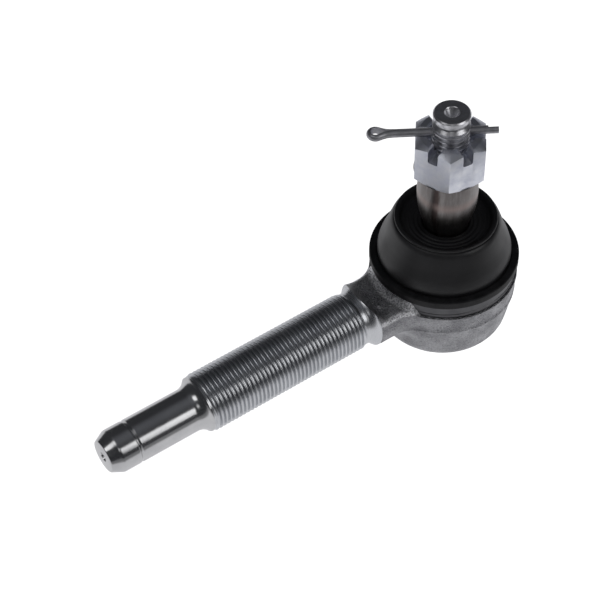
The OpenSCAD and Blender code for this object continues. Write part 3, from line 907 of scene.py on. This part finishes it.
def mouth_outline():
    """The bead round the mouth, its recess with three ridges, and the lip on the stud's neck."""
    top = BOOT_HIGH.z
    floor_z, ridge, ridge_step = 23.95, 0.1, 1.5
    ridges = [(r, floor_z + ridge * math.cos((r - 9.5) * TAU / ridge_step))
              for r in np.linspace(13.0, 8.9, 28)]
    return [(15.6, CREASE_Z - 0.5), (16.45, CREASE_Z - 0.12),
            *arc(RIM_R - 0.32, top - 0.5, 0.5, -50, 118, 12),
            (15.75, top - 0.28), (15.3, top - 0.7), (14.5, 24.75), (13.6, 24.15), *ridges,
            (8.2, 23.9), (7.7, 23.6), (LIP_R, 22.9), (LIP_R, LIP_Z + 0.2), (LIP_R + 0.2, LIP_Z),
            (LIP_R + 1.6, LIP_Z), (LIP_R + 1.8, LIP_Z + 0.3), (LIP_R + 1.8, LIP_Z + 2.8),
            (10.2, 22.5), (12.6, 23.4), (14.9, 24.3)]


def make_boot(rubber):
    line = dome_line()
    radii, heights = zip(*line)
    seam = (np.interp(SEAM_Z, heights, radii), SEAM_Z)
    lower = [p for p in line if p[1] < SEAM_Z - 0.1] + [seam]
    upper = [seam] + [p for p in line if p[1] > SEAM_Z + 0.1]
    foot = wall(lower)
    foot_r = SPIGOT_R - 0.1
    foot = foot[:-1] + [(foot[-1][0], BOOT_LOW.z), (foot_r, BOOT_LOW.z), (foot_r, lower[0][1])]
    dome_low = build("boot_dome_lower", [revolved(foot, True)], [rubber])
    dome_high = build("boot_dome_upper", [revolved(wall(upper), True)], [rubber])
    mouth = build("boot_mouth", [revolved(mouth_outline(), True)], [rubber])
    for piece in (dome_low, dome_high, mouth):
        shade(piece, 50)
        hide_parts("dust_boot")
    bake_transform(dome_low)
    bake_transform(dome_high)
    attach(mouth, "lip_ring")


def make_base_ring(coat):
    """The boot's outer ring, with rounded edges and two small notches across its rim."""
    low, high = RING_LOW.z, RING_HIGH.z
    inner_r = 22.35
    outline = [(SPIGOT_R + 0.05, low), (RING_R - 0.25, low), (RING_R, low + 0.25),
               *arc(RING_R - 0.5, high - 0.5, 0.5, 0, 90, 6),
               *arc(inner_r + 0.35, high - 0.35, 0.35, 90, 180, 4), (inner_r, high - 1),
               (SPIGOT_R + 0.05, high - 1)]
    ring = build("boot_base_ring_coated", [revolved(outline, True, 144)], [coat])
    for turn in RING_NOTCH_AT:
        bpy.ops.mesh.primitive_cube_add(size=MM)
        notch = bpy.context.object
        at_rim = Matrix.Rotation(turn, 4, "Z") @ Matrix.Translation((RING_R * MM, 0, high * MM))
        notch.data.transform(at_rim @ Matrix.Diagonal((*RING_NOTCH, 1)))
        combine(ring, notch, "DIFFERENCE")
    place(shade(ring, 40), "housing", "black_steel", "boot_base_ring")


# ---------------------------------------------------------------- stage


def emitter(name, target, direction, distance, width, height, radiance):
    """A soft rectangular light that looks at the target from a direction."""
    light = bpy.data.lights.new(name, "AREA")
    light.shape = "RECTANGLE"
    light.size = width
    light.size_y = height
    light.energy = radiance * math.pi * width * height
    lamp = bpy.data.objects.new(name, light)
    away = Vector(direction).normalized()
    lamp.location = Vector(target) + away * distance
    lamp.rotation_euler = away.to_track_quat("Z", "Y").to_euler()
    bpy.context.scene.collection.objects.link(lamp)
    return lamp


def make_floor():
    """A wide white table that glows, as a light box does, up to a slanting edge in front."""
    size = 8.0
    bpy.ops.mesh.primitive_plane_add(size=size, location=(0, 0, EYE_LOW_Z * MM - 0.0003))
    floor = bpy.context.object
    floor.name = "floor"
    material = bpy.data.materials.new("white_table")
    material.use_nodes = True
    tree = material.node_tree
    tree.nodes.clear()
    white = add_node(tree, "BsdfDiffuse", {"Color": (0.8, 0.8, 0.8, 1)})
    seen = add_node(tree, "Emission", {"Color": (1, 1, 1, 1), "Strength": 1.05})
    xyz = add_node(tree, "SeparateXYZ", {"Vector": object_place(tree)}).outputs
    slant, unlit_to, lit_from = 0.22, -0.11, -0.088
    across = math_of(tree, "ADD", xyz["Y"], math_of(tree, "MULTIPLY", xyz["X"], slant))
    lit_part = spread(tree, across, unlit_to, lit_from, 0.06, 0.62)
    glow = add_node(tree, "Emission", {"Color": (0.98, 0.98, 1, 1), "Strength": lit_part})
    path = add_node(tree, "LightPath")
    pick = add_node(tree, "MixShader", {0: path.outputs["Is Camera Ray"], 1: glow.outputs[0],
                                        2: seen.outputs[0]})
    lit = add_node(tree, "AddShader", {0: white.outputs[0], 1: pick.outputs[0]})
    out = add_node(tree, "OutputMaterial")
    tree.links.new(lit.outputs[0], out.inputs["Surface"])
    floor.data.materials.append(material)


def make_world():
    """A dim studio that shows white behind the table."""
    world = bpy.data.worlds.new("studio")
    bpy.context.scene.world = world
    world.use_nodes = True
    tree = world.node_tree
    tree.nodes.clear()
    direction = add_node(tree, "TexCoord").outputs["Generated"]
    upward = add_node(tree, "SeparateXYZ", {"Vector": direction}).outputs["Z"]
    overhead = spread(tree, upward, 0.82, 0.98, 0.4, 1.3)
    dim = add_node(tree, "Background", {"Color": (0.10, 0.103, 0.112, 1), "Strength": overhead})
    white = add_node(tree, "Background", {"Color": (1, 1, 1, 1), "Strength": 1.0})
    path = add_node(tree, "LightPath")
    pick = add_node(tree, "MixShader", {0: path.outputs["Is Camera Ray"], 1: dim.outputs[0],
                                        2: white.outputs[0]})
    out = add_node(tree, "OutputWorld")
    tree.links.new(pick.outputs[0], out.inputs["Surface"])


def make_camera():
    """A camera at the angles' azimuth, elevation and roll."""
    azimuth, elevation, roll = (math.radians(angle) for angle in CAMERA_ANGLES)
    back = Vector((math.sin(azimuth) * math.cos(elevation),
                   -math.cos(azimuth) * math.cos(elevation), math.sin(elevation)))
    level = Vector((math.cos(azimuth), math.sin(azimuth), 0))
    up = back.cross(level)
    right = math.cos(roll) * level + math.sin(roll) * up
    above = -math.sin(roll) * level + math.cos(roll) * up
    lens = bpy.data.cameras.new("camera")
    lens.lens = CAMERA_LENS
    lens.sensor_width = 36
    camera = bpy.data.objects.new("camera", lens)
    turned = Matrix((right, above, back)).transposed().to_4x4()
    camera.matrix_world = Matrix.Translation(CAMERA_PLACE) @ turned
    bpy.context.scene.collection.objects.link(camera)
    bpy.context.scene.camera = camera


def make_lights():
    middle = (-0.04, 0, 0.01)
    emitter("key_softbox", middle, (0.373, -0.745, 0.553), 0.75, 0.42, 0.38, 1.5)
    emitter("front_softbox", middle, (-0.40, -0.62, 0.67), 0.80, 0.22, 0.22, 0.8)
    emitter("side_softbox", middle, (-0.52, 0.0, 0.85), 0.80, 0.30, 0.34, 1.5)


bpy.context.scene.view_settings.view_transform = "Standard"
make_camera()
make_floor()
make_world()
make_lights()

grey_wire = drawn_wire("dark_wire", (0.36, 0.36, 0.38), (0.55, 0.55, 0.58), 0.45)
# The turned band under the boot's ring gets a nearly black steel: painted shade from the ring above and the
# ledge below it.
make_housing(forged_steel(),
             turned_steel("turned_band_painted_shade", "Z", (0.08, 0.08, 0.085), (0.13, 0.13, 0.135), 0.32, 0.46, 0.3),
             turned_steel("turned_shank", "X", (0.5, 0.5, 0.51), (0.6, 0.6, 0.605), 0.14, 0.24, 0.2),
             turned_steel("turned_flare", "X", (0.52, 0.53, 0.55), (0.62, 0.63, 0.65), 0.24, 0.3, 0.2))
make_stud(stud_steel())
make_nut(zinc_plate())
make_pin(grey_wire)
make_boot(moulded_rubber())
make_base_ring(black_coat())
acetal = moulded_acetal()
paint_cad_node("upper_seat", acetal)
paint_cad_node("lower_seat", acetal)
paint_cad_node("seat_spring", drawn_wire("blued_spring", (0.16, 0.18, 0.24), (0.34, 0.33, 0.34), 0.3))
paint_cad_node("boot_lip_ring", drawn_wire("ring_wire", (0.03, 0.03, 0.03), (0.10, 0.10, 0.10), 0.34))
paint_cad_node("end_cover", turned_steel("pressed_cover", "Z", (0.40, 0.40, 0.41), (0.52, 0.52, 0.53),
                                         0.32, 0.5, 0.2))
